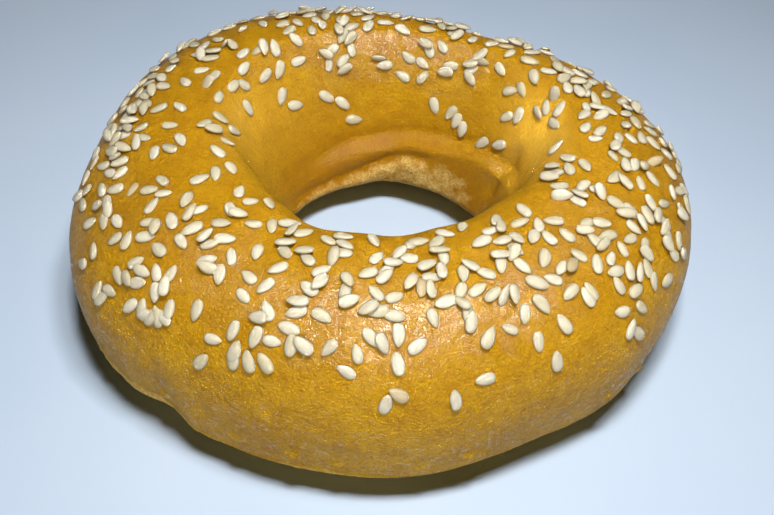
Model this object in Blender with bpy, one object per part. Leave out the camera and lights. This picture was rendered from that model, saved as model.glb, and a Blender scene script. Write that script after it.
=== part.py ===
"""Sesame bagel: a ring of boiled and baked dough with its larger seeds fused on.

The crust is one closed grid of quads.  Each section of it is made from four
plan curves: the outer bulge, the crest, the rim of the hole and the narrowest
part of the hole.  Rolls, dents and unevenness are added to that.  The seeds
are laid by a seeded rule, and the larger ones are joined to the crust by a
Boolean union.

Lengths in the constants are millimetres, and the mesh is made in metres.
The front is towards -Y, the right is +X, and the flat base stands on z = 0.
"""
import math

import bmesh
import bpy
import numpy as np
from mathutils import Matrix, Vector

MM = 0.001
NODE_NAME = "bagel"

# Shortest edge that is kept where a seed meets the crust, in metres
SLIVER = 0.000006

# Grid of the crust
TURN_STEPS = 66
ROUND_STEPS = 26

# Plan of the ring: mean sizes, and waves as (lobes, size, degrees towards).
# The shift brings the middle of the bagel's box to the origin.
OUTER_RADIUS = 50.1
OUTER_WAVES = ((1, 0.45, -75.0), (2, 4.3, -5.5), (3, 2.2, 9.0), (4, 1.0, 24.0), (6, 0.45, 30.0))
PLAN_SHIFT = (-2.31, 0.73)
HOLE_CENTRE = (2.6, 0.6)
HOLE_RADIUS = 18.6
HOLE_WAVES = ((2, 1.0, 12.0), (3, 0.6, -12.0))
RIM_CENTRE = (0.8, 4.6)
RIM_RADIUS = 22.5
RIM_WAVES = ((2, 1.4, 0.0), (3, 1.5, -90.0))
CREST_CENTRE = (2.0, 0.0)
CREST_RADIUS = 31.2
CREST_WAVES = ((1, 1.0, 90.0), (2, 0.8, 0.0))

# Local changes of a plan curve: (degrees towards, degrees wide, size)
OUTER_SPOTS = (
    (-38.0, 9.0, 0.6),
    (-20.0, 9.0, -0.2),
    (36.0, 20.0, -0.6),
    (-92.0, 24.0, 0.5),
    (172.0, 14.0, -0.6),
    (-120.0, 9.0, -0.5),
)
RIM_SPOTS = ((-112.0, 16.0, 1.6), (-58.0, 18.0, -0.6), (-86.0, 16.0, 0.8))

# Heights of the section
HEIGHT = 32.6
HEIGHT_WAVES = ((1, 0.3, -20.0), (2, 0.3, 80.0), (3, 0.25, 20.0))
OUTER_BULGE_HEIGHT = 13.8
HOLE_BULGE_HEIGHT = 7.6
OUTER_SQUARENESS = 0.92
SHOULDER_DROP_FRONT = 2.0
SHOULDER_DROP_BACK = 12.5
SHOULDER_LEAN_BACK = 1.4
SHOULDER_ROUND_BACK = 2.6

# Facet of the inner shoulder at the right
FACET_TOWARD = 16.0
FACET_WIDE = 18.0
FACET_DROP = 5.0
FACET_ROUND = 1.2

# Foot edge: its height, its share of the section's half width and its place
FOOT_HEIGHT = 6.2
FOOT_SHARE = 0.965
FOOT_REACH = 0.433

# Flat base, as shares of the section's half width and as part of its round
BASE_SHARE_OUTER = 0.47
BASE_SHARE_HOLE = 0.42
BASE_HALF_ROUND = math.radians(26.0)

# Lower roll that stands out into the hole at the back
ROLL_TOWARD = 70.0
ROLL_WIDE = 62.0
ROLL_TOP = 16.4
ROLL_SLOPE = -0.055
ROLL_BLEND = 2.6
ROLL_SIZE = 1.8

# Dent in the outer edge at the front left, and the roll of dough beside it
DENT_TOWARD = -128.5
DENT_WIDE = 4.5
DENT_TOP = 17.0
DENT_DEPTH = 1.1
DENT_ROLL_TOWARD = -119.5
DENT_ROLL_SIZE = 0.6

# Shallow valley on the crown, out from the hole's left corner
VALLEY_TOWARD = -122.0
VALLEY_WIDE = 7.0
VALLEY_RADIUS = 27.0
VALLEY_LENGTH = 8.0
VALLEY_DEPTH = 0.7

# Unevenness: (waves round the ring, waves round the section, size, phase)
UNEVEN = ((5, 1, 0.30, 0.4), (8, 2, 0.20, 2.1), (11, 1, 0.12, 4.0), (3, 3, 0.20, 1.2))

# Seeds: the mean seed, how far it is sunk, and the spacing of the fused ones
SEED_LENGTH = 3.15
SEED_WIDTH = 1.85
SEED_THICKNESS = 0.95
SEED_SPREAD = 0.07
SEED_SUNK = 0.12
SEED_SIDES = 5
SEED_SEPARATION = 2.3
SEED_COUNT = 380
SEED_DRAWS = 9000
SEED_RANDOM = 27
FUSED_SEPARATION = 3.4
FUSED_COUNT = 192

# Where seeds lie: the band's lower and upper edge in degrees round the section
BAND_LOW = 42.0
BAND_LOW_WAVES = ((1, 6.3, 90.0), (2, 9.0, 90.0), (3, 6.0, -76.0))
BAND_HIGH = 116.0
BAND_HIGH_WAVES = ((1, 8.0, 80.0), (2, 5.0, 90.0))
BAND_EDGE = 9.0

# Bare or crowded places: (degrees towards, wide, degrees round, wide, change)
SEED_PLACES = (
    (-160.0, 16.0, 98.0, 15.0, -0.6),
    (-122.0, 9.0, 92.0, 14.0, -0.7),
    (45.0, 10.0, 98.0, 12.0, -0.5),
    (178.0, 12.0, 56.0, 14.0, 0.8),
    (108.0, 14.0, 74.0, 12.0, 0.6),
    (68.0, 18.0, 78.0, 16.0, 0.9),
    (76.0, 30.0, 122.0, 11.0, 0.5),
    (26.0, 12.0, 80.0, 14.0, 0.8),
    (-30.0, 20.0, 80.0, 18.0, 0.6),
    (-86.0, 26.0, 84.0, 17.0, 1.2),
    (-47.0, 10.0, 50.0, 12.0, -0.8),
    (-27.0, 14.0, 24.0, 14.0, -0.6),
    (-165.0, 22.0, 34.0, 12.0, -0.6),
)


def waves(turn, table):
    """Sum of cosine waves round the ring, in millimetres."""
    return sum(size * np.cos(lobes * (turn - math.radians(toward))) for lobes, size, toward in table)


def swing(angle, toward):
    """Angle from a direction given in degrees, wrapped to -pi..pi."""
    return (angle - math.radians(toward) + math.pi) % (2.0 * math.pi) - math.pi


def bell(angle, toward, wide):
    """Smooth bump of height 1 at a direction, both in degrees."""
    return np.exp(-((swing(angle, toward) / math.radians(wide)) ** 2))


def spots(turn, table):
    """Sum of local bumps round the ring, in millimetres."""
    return sum(size * bell(turn, toward, wide) for toward, wide, size in table)


def smooth_step(value):
    """Smooth rise from 0 to 1 while the value goes from 0 to 1."""
    held = np.clip(value, 0.0, 1.0)
    return held * held * (3.0 - 2.0 * held)


def circle_reach(turn, centre, radius):
    """Distance from the ring's axis to a circle that is off the axis."""
    along = centre[0] * np.cos(turn) + centre[1] * np.sin(turn)
    across = centre[1] * np.cos(turn) - centre[0] * np.sin(turn)
    return along + np.sqrt(radius ** 2 - across ** 2)


def plan_curves(turn):
    """Outer, hole, rim and crest radius and the crown's height at a turn."""
    outer = OUTER_RADIUS + waves(turn, OUTER_WAVES) + spots(turn, OUTER_SPOTS)
    hole = circle_reach(turn, HOLE_CENTRE, HOLE_RADIUS + waves(turn, HOLE_WAVES))
    rim = circle_reach(turn, RIM_CENTRE, RIM_RADIUS + waves(turn, RIM_WAVES) + spots(turn, RIM_SPOTS))
    crest = circle_reach(turn, CREST_CENTRE, CREST_RADIUS + waves(turn, CREST_WAVES))
    height = HEIGHT + waves(turn, HEIGHT_WAVES)
    return outer, hole, rim, crest, height


def outer_quarter(turn, around):
    """Radius and height from the outer bulge up to the crest."""
    outer, hole, rim, crest, height = plan_curves(turn)
    along = np.clip(np.cos(around), 0.0, 1.0) ** OUTER_SQUARENESS
    rise = np.clip(np.sin(around), 0.0, 1.0) ** OUTER_SQUARENESS
    return crest + (outer - crest) * along, OUTER_BULGE_HEIGHT + (height - OUTER_BULGE_HEIGHT) * rise


def hole_quarter(turn, around):
    """Radius and height from the crest over the rim and down into the hole."""
    outer, hole, rim, crest, height = plan_curves(turn)
    back = (0.5 + 0.5 * np.sin(turn)) ** 1.5
    facet = bell(turn, FACET_TOWARD, FACET_WIDE)
    drop = SHOULDER_DROP_FRONT + (SHOULDER_DROP_BACK - SHOULDER_DROP_FRONT) * back + FACET_DROP * facet
    t = np.clip((around - 0.5 * math.pi) / (0.5 * math.pi), 0.0, 1.0)
    s = 1.0 - t
    lean = rim - 0.6 - SHOULDER_LEAN_BACK * back
    near = rim + 0.8 + SHOULDER_ROUND_BACK * back + FACET_ROUND * facet
    radius = s ** 3 * crest + 3.0 * s * s * t * near + 3.0 * s * t * t * lean + t ** 3 * hole
    level = (s ** 3 + 3.0 * s * s * t) * height + 3.0 * s * t * t * (height - drop) + t ** 3 * HOLE_BULGE_HEIGHT
    return radius, level


def lower_half(turn, around):
    """Radius and height of the underside, with its foot edge and flat base."""
    outer, hole, rim, crest, height = plan_curves(turn)
    from_base = around - 1.5 * math.pi
    side = np.sign(from_base)
    reach = np.clip((0.5 * math.pi - np.abs(from_base)) / (0.5 * math.pi - BASE_HALF_ROUND), 0.0, 1.0)
    base_share = np.where(side > 0.0, BASE_SHARE_OUTER, BASE_SHARE_HOLE)
    bulge = np.where(side > 0.0, OUTER_BULGE_HEIGHT, HOLE_BULGE_HEIGHT)
    wall = np.clip(reach / FOOT_REACH, 0.0, 1.0)
    under = np.clip((reach - FOOT_REACH) / (1.0 - FOOT_REACH), 0.0, 1.0)
    share = 1.0 - (1.0 - FOOT_SHARE) * wall ** 2 - (FOOT_SHARE - base_share) * under ** 0.9
    level = bulge - (bulge - FOOT_HEIGHT) * wall
    level = np.where(under > 0.0, FOOT_HEIGHT * (1.0 - under) ** 1.2, level)
    on_base = np.abs(from_base) < BASE_HALF_ROUND
    share = np.where(on_base, base_share * np.abs(from_base) / BASE_HALF_ROUND, share)
    level = np.where(on_base, 0.0, level)
    return 0.5 * (outer + hole) + side * share * 0.5 * (outer - hole), level


def inner_roll(turn, level):
    """How far the lower roll stands out into the hole."""
    away = swing(turn, ROLL_TOWARD)
    top = ROLL_TOP + ROLL_SLOPE * np.degrees(away)
    below = smooth_step((top - level) / ROLL_BLEND)
    foot = smooth_step(level / 6.0)
    return ROLL_SIZE * below * foot * np.exp(-((away / math.radians(ROLL_WIDE)) ** 4))


def outer_dent(turn, level):
    """Change of the outer radius at the dent and its roll."""
    below = smooth_step((DENT_TOP - level) / 9.0)
    dent = DENT_DEPTH * bell(turn, DENT_TOWARD, DENT_WIDE)
    roll = DENT_ROLL_SIZE * bell(turn, DENT_ROLL_TOWARD, DENT_WIDE)
    return (roll - dent) * below


def unevenness(turn, around):
    """Slow waves of the dough, in millimetres along the surface's normal."""
    total = 0.0
    for turns, rounds, size, phase in UNEVEN:
        total = total + size * np.sin(turns * turn + phase) * np.cos(rounds * around + 1.7 * phase)
    return total


def crust_point(turn, around):
    """Point of the crust in millimetres.

    turn goes round the ring from +X; around goes round the section, from the
    outer bulge (0) over the crest (90 degrees) and the hole (180) to the base (270).
    """
    turn, around = np.broadcast_arrays(turn, np.mod(around, 2.0 * math.pi))
    outer_radius, outer_level = outer_quarter(turn, around)
    hole_radius, hole_level = hole_quarter(turn, around)
    lower_radius, lower_level = lower_half(turn, around)
    upper = around <= math.pi
    on_outside = (around < 0.5 * math.pi) | (around > 1.5 * math.pi)
    radius = np.where(upper, np.where(on_outside, outer_radius, hole_radius), lower_radius)
    level = np.where(upper, np.where(on_outside, outer_level, hole_level), lower_level)
    radius = radius + np.where(on_outside, outer_dent(turn, level), -inner_roll(turn, level))
    valley = bell(turn, VALLEY_TOWARD, VALLEY_WIDE) * np.exp(-(((radius - VALLEY_RADIUS) / VALLEY_LENGTH) ** 2))
    swell = unevenness(turn, around) * smooth_step(level / 8.0)
    radius = radius + swell * np.cos(around)
    level = level + np.where(upper, swell * np.sin(around) - VALLEY_DEPTH * valley, 0.0)
    across = radius * np.cos(turn) + PLAN_SHIFT[0]
    ahead = radius * np.sin(turn) + PLAN_SHIFT[1]
    return np.stack([across, ahead, level], -1)


def crust_axes(turn, around):
    """Unit vectors along the ring, up the section and out of the crust."""
    step = 0.01
    along = crust_point(turn + step, around) - crust_point(turn - step, around)
    over = crust_point(turn, around + step) - crust_point(turn, around - step)
    out = np.cross(along, over)
    along = along / np.linalg.norm(along, axis=-1, keepdims=True)
    out = out / np.linalg.norm(out, axis=-1, keepdims=True)
    return along, np.cross(out, along), out


def seed_chance(turn, around):
    """How likely a seed is to lie at a place, from 0 to 1."""
    degrees = np.degrees(around)
    low = BAND_LOW + waves(turn, BAND_LOW_WAVES)
    high = BAND_HIGH + waves(turn, BAND_HIGH_WAVES)
    inside = smooth_step((degrees - low) / BAND_EDGE + 0.5) * smooth_step((high - degrees) / BAND_EDGE + 0.5)
    crowding = 1.0
    for toward, wide, round_at, round_wide, change in SEED_PLACES:
        crowding = crowding + change * bell(turn, toward, wide) * np.exp(-(((degrees - round_at) / round_wide) ** 2))
    return 0.45 * inside * crowding + 0.012 * (degrees > 25.0) * (degrees < 150.0)


def spread_seeds():
    """Places and sizes of the seeds, from a seeded draw with a smallest spacing."""
    draw = np.random.RandomState(SEED_RANDOM)
    turn = draw.uniform(-math.pi, math.pi, SEED_DRAWS)
    around = draw.uniform(math.radians(20.0), math.radians(160.0), SEED_DRAWS)
    luck = draw.uniform(0.0, 1.0, SEED_DRAWS)
    heading = draw.uniform(0.0, 2.0 * math.pi, SEED_DRAWS)
    growth = np.clip(draw.normal(1.0, SEED_SPREAD, SEED_DRAWS), 0.82, 1.16)
    centres = crust_point(turn, around)
    step = 0.01
    along = np.linalg.norm(crust_point(turn + step, around) - centres, axis=-1)
    over = np.linalg.norm(crust_point(turn, around + step) - centres, axis=-1)
    area = along * over
    wanted = luck < seed_chance(turn, around) * area / np.max(area)
    kept = []
    for index in np.nonzero(wanted)[0]:
        gaps = np.linalg.norm(centres[kept] - centres[index], axis=-1)
        if len(kept) < SEED_COUNT and np.all(gaps > SEED_SEPARATION):
            kept.append(index)
    return turn[kept], around[kept], heading[kept], growth[kept]


def choose_fused(turn, around, growth):
    """Indices of the seeds that are fused on: the largest first, kept apart."""
    centres = crust_point(turn, around)
    chosen = []
    for index in np.argsort(-growth, kind="stable"):
        gaps = np.linalg.norm(centres[chosen] - centres[index], axis=-1)
        if len(chosen) < FUSED_COUNT and np.all(gaps > FUSED_SEPARATION):
            chosen.append(int(index))
    return chosen


def clear_scene():
    """Remove the objects that the scene starts with."""
    for item in list(bpy.data.objects):
        bpy.data.objects.remove(item, do_unlink=True)


def crust_material():
    """Golden glazed crust."""
    material = bpy.data.materials.new("golden_crust")
    material.use_nodes = True
    shader = material.node_tree.nodes["Principled BSDF"]
    shader.inputs["Base Color"].default_value = (0.46, 0.22, 0.018, 1.0)
    shader.inputs["Roughness"].default_value = 0.42
    shader.inputs["Metallic"].default_value = 0.0
    return material


def crust_object():
    """The bare ring as a closed grid of quads."""
    turns = np.linspace(0.0, 2.0 * math.pi, TURN_STEPS, endpoint=False)
    rounds = np.linspace(0.0, 2.0 * math.pi, ROUND_STEPS, endpoint=False)
    points = crust_point(turns[:, None], rounds[None, :]) * MM
    mesh = bpy.data.meshes.new(NODE_NAME)
    shell = bmesh.new()
    grid = [[shell.verts.new(Vector(point)) for point in row] for row in points.tolist()]
    for i in range(TURN_STEPS):
        here = grid[i]
        ahead = grid[(i + 1) % TURN_STEPS]
        for j in range(ROUND_STEPS):
            above = (j + 1) % ROUND_STEPS
            shell.faces.new((here[j], ahead[j], ahead[above], here[above]))
    bmesh.ops.triangulate(shell, faces=shell.faces[:])
    shell.to_mesh(mesh)
    shell.free()
    crust = bpy.data.objects.new(NODE_NAME, mesh)
    bpy.context.scene.collection.objects.link(crust)
    mesh.materials.append(crust_material())
    return crust


def seed_mesh():
    """A teardrop seed of unit length, width and thickness, point towards +X."""
    mesh = bpy.data.meshes.new("seed")
    body = bmesh.new()
    tip = body.verts.new((0.5, 0.0, 0.0))
    end = body.verts.new((-0.5, 0.0, 0.0))
    rings = []
    for along, size in ((0.12, 0.82), (-0.28, 0.96)):
        angles = [2.0 * math.pi * k / SEED_SIDES for k in range(SEED_SIDES)]
        rings.append([
            body.verts.new((along, 0.5 * size * math.cos(angle), 0.5 * size * math.sin(angle)))
            for angle in angles
        ])
    front, rear = rings
    for k in range(SEED_SIDES):
        n = (k + 1) % SEED_SIDES
        body.faces.new((tip, front[k], front[n]))
        body.faces.new((front[k], rear[k], rear[n]))
        body.faces.new((front[k], rear[n], front[n]))
        body.faces.new((end, rear[n], rear[k]))
    bmesh.ops.recalc_face_normals(body, faces=body.faces[:])
    body.to_mesh(mesh)
    body.free()
    return mesh


def lay_seeds():
    """Lay the fused seeds on the crust, in a collection of their own."""
    turn, around, heading, growth = spread_seeds()
    chosen = choose_fused(turn, around, growth)
    collection = bpy.data.collections.new("seeds")
    bpy.context.scene.collection.children.link(collection)
    mesh = seed_mesh()
    for number, index in enumerate(chosen):
        along, over, out = (Vector(axis) for axis in crust_axes(turn[index], around[index]))
        centre = Vector(crust_point(turn[index], around[index]))
        centre = centre + out * (0.5 * SEED_THICKNESS - SEED_SUNK - 0.33)
        length_axis = along * math.cos(heading[index]) + over * math.sin(heading[index])
        width_axis = out.cross(length_axis)
        turned = Matrix((length_axis, width_axis, out)).transposed().to_4x4()
        size = growth[index] * MM
        sized = Matrix.Diagonal((SEED_LENGTH * size, SEED_WIDTH * size, SEED_THICKNESS * size, 1.0))
        seed = bpy.data.objects.new(f"seed_{number:03d}", mesh)
        seed.matrix_world = Matrix.Translation(centre * MM) @ turned @ sized
        seed.hide_render = True
        seed.display_type = "WIRE"
        collection.objects.link(seed)
    return collection


def fuse_seeds(crust, collection):
    """Join the seeds to the crust with one Boolean union, and drop the loose ones."""
    union = crust.modifiers.new("seeds", "BOOLEAN")
    union.operation = "UNION"
    union.operand_type = "COLLECTION"
    union.collection = collection
    union.solver = "EXACT"
    bpy.context.view_layer.update()
    graph = bpy.context.evaluated_depsgraph_get()
    joined = bpy.data.meshes.new_from_object(crust.evaluated_get(graph))
    crust.modifiers.clear()
    bare = crust.data
    crust.data = joined
    bpy.data.meshes.remove(bare)
    joined.name = NODE_NAME
    for seed in list(collection.objects):
        bpy.data.objects.remove(seed, do_unlink=True)
    bpy.data.collections.remove(collection)


def finish_mesh(crust):
    """Make the joined solid plain triangles and shade it smooth."""
    body = bmesh.new()
    body.from_mesh(crust.data)
    bmesh.ops.dissolve_degenerate(body, edges=body.edges[:], dist=SLIVER)
    bmesh.ops.triangulate(body, faces=body.faces[:])
    body.to_mesh(crust.data)
    body.free()
    crust.data.shade_smooth()
    crust.data.set_sharp_from_angle(angle=math.radians(40.0))


def main():
    """Build the bagel."""
    clear_scene()
    crust = crust_object()
    fuse_seeds(crust, lay_seeds())
    finish_mesh(crust)


if __name__ == "__main__":
    main()
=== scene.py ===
"""Looks of the sesame bagel: glazed crust, seeds, floor, light and camera.

The crust is a fine grid on the same plan curves as the solid part, with the
small folds, wrinkles and pores that the solid leaves out.  The seeds are laid
by the same seeded rule and set on the crust by Geometry Nodes.
"""

import logging
import math
from dataclasses import dataclass, field
from enum import Enum

import bmesh
import bpy
import numpy as np
from mathutils import Matrix, Vector
from mathutils.bvhtree import BVHTree


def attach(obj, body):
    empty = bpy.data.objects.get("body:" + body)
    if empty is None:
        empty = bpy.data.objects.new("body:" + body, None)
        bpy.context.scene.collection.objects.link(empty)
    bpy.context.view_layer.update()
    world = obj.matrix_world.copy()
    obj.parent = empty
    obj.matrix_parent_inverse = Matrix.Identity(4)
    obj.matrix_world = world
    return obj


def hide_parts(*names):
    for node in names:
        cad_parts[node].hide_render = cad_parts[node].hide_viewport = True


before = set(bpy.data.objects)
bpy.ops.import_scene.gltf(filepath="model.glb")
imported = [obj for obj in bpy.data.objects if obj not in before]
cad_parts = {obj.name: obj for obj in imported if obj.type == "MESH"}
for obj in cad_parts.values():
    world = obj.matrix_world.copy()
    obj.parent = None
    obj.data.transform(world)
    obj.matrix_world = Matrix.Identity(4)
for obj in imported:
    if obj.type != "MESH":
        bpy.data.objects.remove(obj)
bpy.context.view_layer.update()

MM = 0.001
STEP = 0.01
LOG = logging.getLogger("bagel")

Array = np.ndarray
Fades = tuple[float, float, float, float]
Rows = tuple[tuple[float, ...], ...]
Socket = bpy.types.NodeSocket
Triple = tuple[float, float, float]


class Slot(Enum):
    """Material slots of the record."""

    CRUST = "crust"
    SESAME = "sesame"


class SeedKind(Enum):
    """Shapes that a sesame seed comes in."""

    PLUMP = 0
    SLIM = 1
    ROUND = 2
    BENT = 3
    FLAT = 4
    CHIPPED = 5


def wave_sum(turn: Array, table: Rows) -> Array:
    """Sum cosine waves round the ring.

    Args:
        turn: Angles round the ring, in radians.
        table: Rows of lobes, size in millimetres and degrees towards.

    Returns:
        The sum at each angle, in millimetres.
    """
    return sum(size * np.cos(lobes * (turn - math.radians(toward))) for lobes, size, toward in table)


def bell(angle: Array, toward: float, wide: float) -> Array:
    """Give a smooth bump of height 1 at a direction.

    Args:
        angle: Angles in radians.
        toward: Where the bump is, in degrees.
        wide: How wide it is, in degrees.

    Returns:
        The bump's height at each angle.
    """
    away = (angle - math.radians(toward) + math.pi) % (2.0 * math.pi) - math.pi
    return np.exp(-((away / math.radians(wide)) ** 2))


def spot_sum(turn: Array, table: Rows) -> Array:
    """Sum local bumps round the ring.

    Args:
        turn: Angles round the ring, in radians.
        table: Rows of degrees towards, degrees wide and size in millimetres.

    Returns:
        The sum at each angle, in millimetres.
    """
    return sum(size * bell(turn, toward, wide) for toward, wide, size in table)


def patch_sum(turn: Array, around: Array, table: Rows) -> Array:
    """Sum local bumps on the crust.

    Args:
        turn: Angles round the ring, in radians.
        around: Angles round the section, in radians.
        table: Rows of degrees towards and wide, round the ring and then the section, and size.

    Returns:
        The sum at each point.
    """
    total = 0.0
    for toward, wide, round_at, round_wide, size in table:
        total = total + size * bell(turn, toward, wide) * bell(around, round_at, round_wide)
    return total


def smooth_step(value: Array) -> Array:
    """Rise smoothly from 0 to 1 while the value goes from 0 to 1."""
    held = np.clip(value, 0.0, 1.0)
    return held * held * (3.0 - 2.0 * held)


def ramp(value: Array, start: float, reach: float) -> Array:
    """Rise smoothly from 0 at the start to 1 a reach further on, which may be negative."""
    return smooth_step((value - start) / reach)


def window(value: Array, fades: Fades) -> Array:
    """Rise from 0 to 1 and fall back to 0 smoothly.

    Args:
        value: The values.
        fades: Where the rise starts and how long it is, where the fall ends and minus how long it is.

    Returns:
        The height at each value.
    """
    start, rise, end, fall = fades
    return ramp(value, start, rise) * ramp(value, end, fall)


def ridge(value: Array, middle: float | Array, wide: float) -> Array:
    """Give a smooth ridge of height 1 at a middle value."""
    return np.exp(-(((value - middle) / wide) ** 2))


def circle_reach(turn: Array, centre: tuple[float, float], radius: Array) -> Array:
    """Measure from the ring's axis to a circle that is off the axis.

    Args:
        turn: Angles round the ring, in radians.
        centre: The circle's centre, in millimetres.
        radius: The circle's radius at each angle, in millimetres.

    Returns:
        The distance at each angle, in millimetres.
    """
    along = centre[0] * np.cos(turn) + centre[1] * np.sin(turn)
    across = centre[1] * np.cos(turn) - centre[0] * np.sin(turn)
    return along + np.sqrt(radius ** 2 - across ** 2)


@dataclass(frozen=True)
class PlanCurves:
    """Plan radii and crown height of the ring at some turns, in millimetres."""

    outer: Array
    hole: Array
    rim: Array
    crest: Array
    height: Array


@dataclass(frozen=True)
class BagelForm:
    """The ring's form, in millimetres, with the sizes of the solid part."""

    outer_radius: float = 50.1
    outer_waves: Rows = ((1, 0.45, -75.0), (2, 4.3, -5.5), (3, 2.2, 9.0), (4, 1.0, 24.0), (6, 0.45, 30.0))
    outer_spots: Rows = (
        (-38.0, 9.0, 0.6), (-20.0, 9.0, -0.2), (36.0, 20.0, -0.6),
        (-92.0, 24.0, 0.5), (172.0, 14.0, -0.6), (-120.0, 9.0, -0.5),
    )
    plan_shift: tuple[float, float] = (-2.31, 0.73)
    hole_centre: tuple[float, float] = (2.6, 0.6)
    hole_radius: float = 18.6
    hole_waves: Rows = ((2, 1.0, 12.0), (3, 0.6, -12.0))
    rim_centre: tuple[float, float] = (0.8, 4.6)
    rim_radius: float = 22.5
    rim_waves: Rows = ((2, 1.4, 0.0), (3, 1.5, -90.0))
    rim_spots: Rows = ((-112.0, 16.0, 1.6), (-58.0, 18.0, -0.6), (-86.0, 16.0, 0.8))
    crest_centre: tuple[float, float] = (2.0, 0.0)
    crest_radius: float = 31.2
    crest_waves: Rows = ((1, 1.0, 90.0), (2, 0.8, 0.0))
    height: float = 32.6
    height_waves: Rows = ((1, 0.3, -20.0), (2, 0.3, 80.0), (3, 0.25, 20.0))
    outer_bulge_height: float = 13.8
    hole_bulge_height: float = 7.6
    outer_squareness: float = 0.92
    rim_round: float = 0.8
    rim_lean: float = 0.6
    back_sharpness: float = 1.5
    shoulder_drop_front: float = 2.0
    shoulder_drop_back: float = 12.5
    shoulder_lean_back: float = 1.4
    shoulder_round_back: float = 2.6
    facet_toward: float = 16.0
    facet_wide: float = 18.0
    facet_drop: float = 5.0
    facet_round: float = 1.2
    foot_height: float = 6.2
    foot_share: float = 0.965
    foot_reach: float = 0.433
    base_share_outer: float = 0.47
    base_share_hole: float = 0.42
    base_half_round: float = math.radians(26.0)
    roll_toward: float = 70.0
    roll_wide: float = 62.0
    roll_top: float = 16.4
    roll_slope: float = -0.055
    roll_blend: float = 2.6
    roll_size: float = 1.8
    roll_foot: float = 6.0
    dent_toward: float = -128.5
    dent_wide: float = 4.5
    dent_top: float = 17.0
    dent_fade: float = 9.0
    dent_depth: float = 1.1
    dent_roll_toward: float = -119.5
    dent_roll_size: float = 0.6
    valley_toward: float = -122.0
    valley_wide: float = 7.0
    valley_radius: float = 27.0
    valley_length: float = 8.0
    valley_depth: float = 0.7
    uneven: Rows = ((5, 1, 0.30, 0.4), (8, 2, 0.20, 2.1), (11, 1, 0.12, 4.0), (3, 3, 0.20, 1.2))
    uneven_foot: float = 8.0

    def curves(self, turn: Array) -> PlanCurves:
        """Work out the plan curves.

        Args:
            turn: Angles round the ring, in radians.

        Returns:
            The curves' values at each angle.
        """
        rim_radius = self.rim_radius + wave_sum(turn, self.rim_waves) + spot_sum(turn, self.rim_spots)
        return PlanCurves(
            outer=self.outer_radius + wave_sum(turn, self.outer_waves) + spot_sum(turn, self.outer_spots),
            hole=circle_reach(turn, self.hole_centre, self.hole_radius + wave_sum(turn, self.hole_waves)),
            rim=circle_reach(turn, self.rim_centre, rim_radius),
            crest=circle_reach(turn, self.crest_centre, self.crest_radius + wave_sum(turn, self.crest_waves)),
            height=self.height + wave_sum(turn, self.height_waves),
        )

    def outer_quarter(self, plan: PlanCurves, around: Array) -> tuple[Array, Array]:
        """Give radius and height from the outer bulge up to the crest.

        Args:
            plan: The plan curves.
            around: Angles round the section, in radians.

        Returns:
            Radii and heights, in millimetres.
        """
        along = np.clip(np.cos(around), 0.0, 1.0) ** self.outer_squareness
        rise = np.clip(np.sin(around), 0.0, 1.0) ** self.outer_squareness
        low = self.outer_bulge_height
        return plan.crest + (plan.outer - plan.crest) * along, low + (plan.height - low) * rise

    def hole_quarter(self, plan: PlanCurves, turn: Array, around: Array) -> tuple[Array, Array]:
        """Give radius and height from the crest, over the rim and into the hole.

        Args:
            plan: The plan curves.
            turn: Angles round the ring, in radians.
            around: Angles round the section, in radians.

        Returns:
            Radii and heights, in millimetres.
        """
        back = (0.5 + 0.5 * np.sin(turn)) ** self.back_sharpness
        facet = bell(turn, self.facet_toward, self.facet_wide)
        drop = self.shoulder_drop_front + (self.shoulder_drop_back - self.shoulder_drop_front) * back
        drop = drop + self.facet_drop * facet
        t = np.clip((around - 0.5 * math.pi) / (0.5 * math.pi), 0.0, 1.0)
        s = 1.0 - t
        lean = plan.rim - self.rim_lean - self.shoulder_lean_back * back
        near = plan.rim + self.rim_round + self.shoulder_round_back * back + self.facet_round * facet
        radius = s ** 3 * plan.crest + 3.0 * s * s * t * near + 3.0 * s * t * t * lean + t ** 3 * plan.hole
        level = (s ** 3 + 3.0 * s * s * t) * plan.height + 3.0 * s * t * t * (plan.height - drop)
        return radius, level + t ** 3 * self.hole_bulge_height

    def lower_half(self, plan: PlanCurves, around: Array) -> tuple[Array, Array]:
        """Give radius and height of the underside, with its flat base.

        Args:
            plan: The plan curves.
            around: Angles round the section, in radians.

        Returns:
            Radii and heights, in millimetres.
        """
        from_base = around - 1.5 * math.pi
        side = np.sign(from_base)
        reach = (0.5 * math.pi - np.abs(from_base)) / (0.5 * math.pi - self.base_half_round)
        reach = np.clip(reach, 0.0, 1.0)
        base_share = np.where(side > 0.0, self.base_share_outer, self.base_share_hole)
        bulge = np.where(side > 0.0, self.outer_bulge_height, self.hole_bulge_height)
        wall = np.clip(reach / self.foot_reach, 0.0, 1.0)
        under = np.clip((reach - self.foot_reach) / (1.0 - self.foot_reach), 0.0, 1.0)
        share = 1.0 - (1.0 - self.foot_share) * wall ** 2 - (self.foot_share - base_share) * under ** 0.9
        level = bulge - (bulge - self.foot_height) * wall
        level = np.where(under > 0.0, self.foot_height * (1.0 - under) ** 1.2, level)
        on_base = np.abs(from_base) < self.base_half_round
        share = np.where(on_base, base_share * np.abs(from_base) / self.base_half_round, share)
        level = np.where(on_base, 0.0, level)
        return 0.5 * (plan.outer + plan.hole) + side * share * 0.5 * (plan.outer - plan.hole), level

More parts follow.
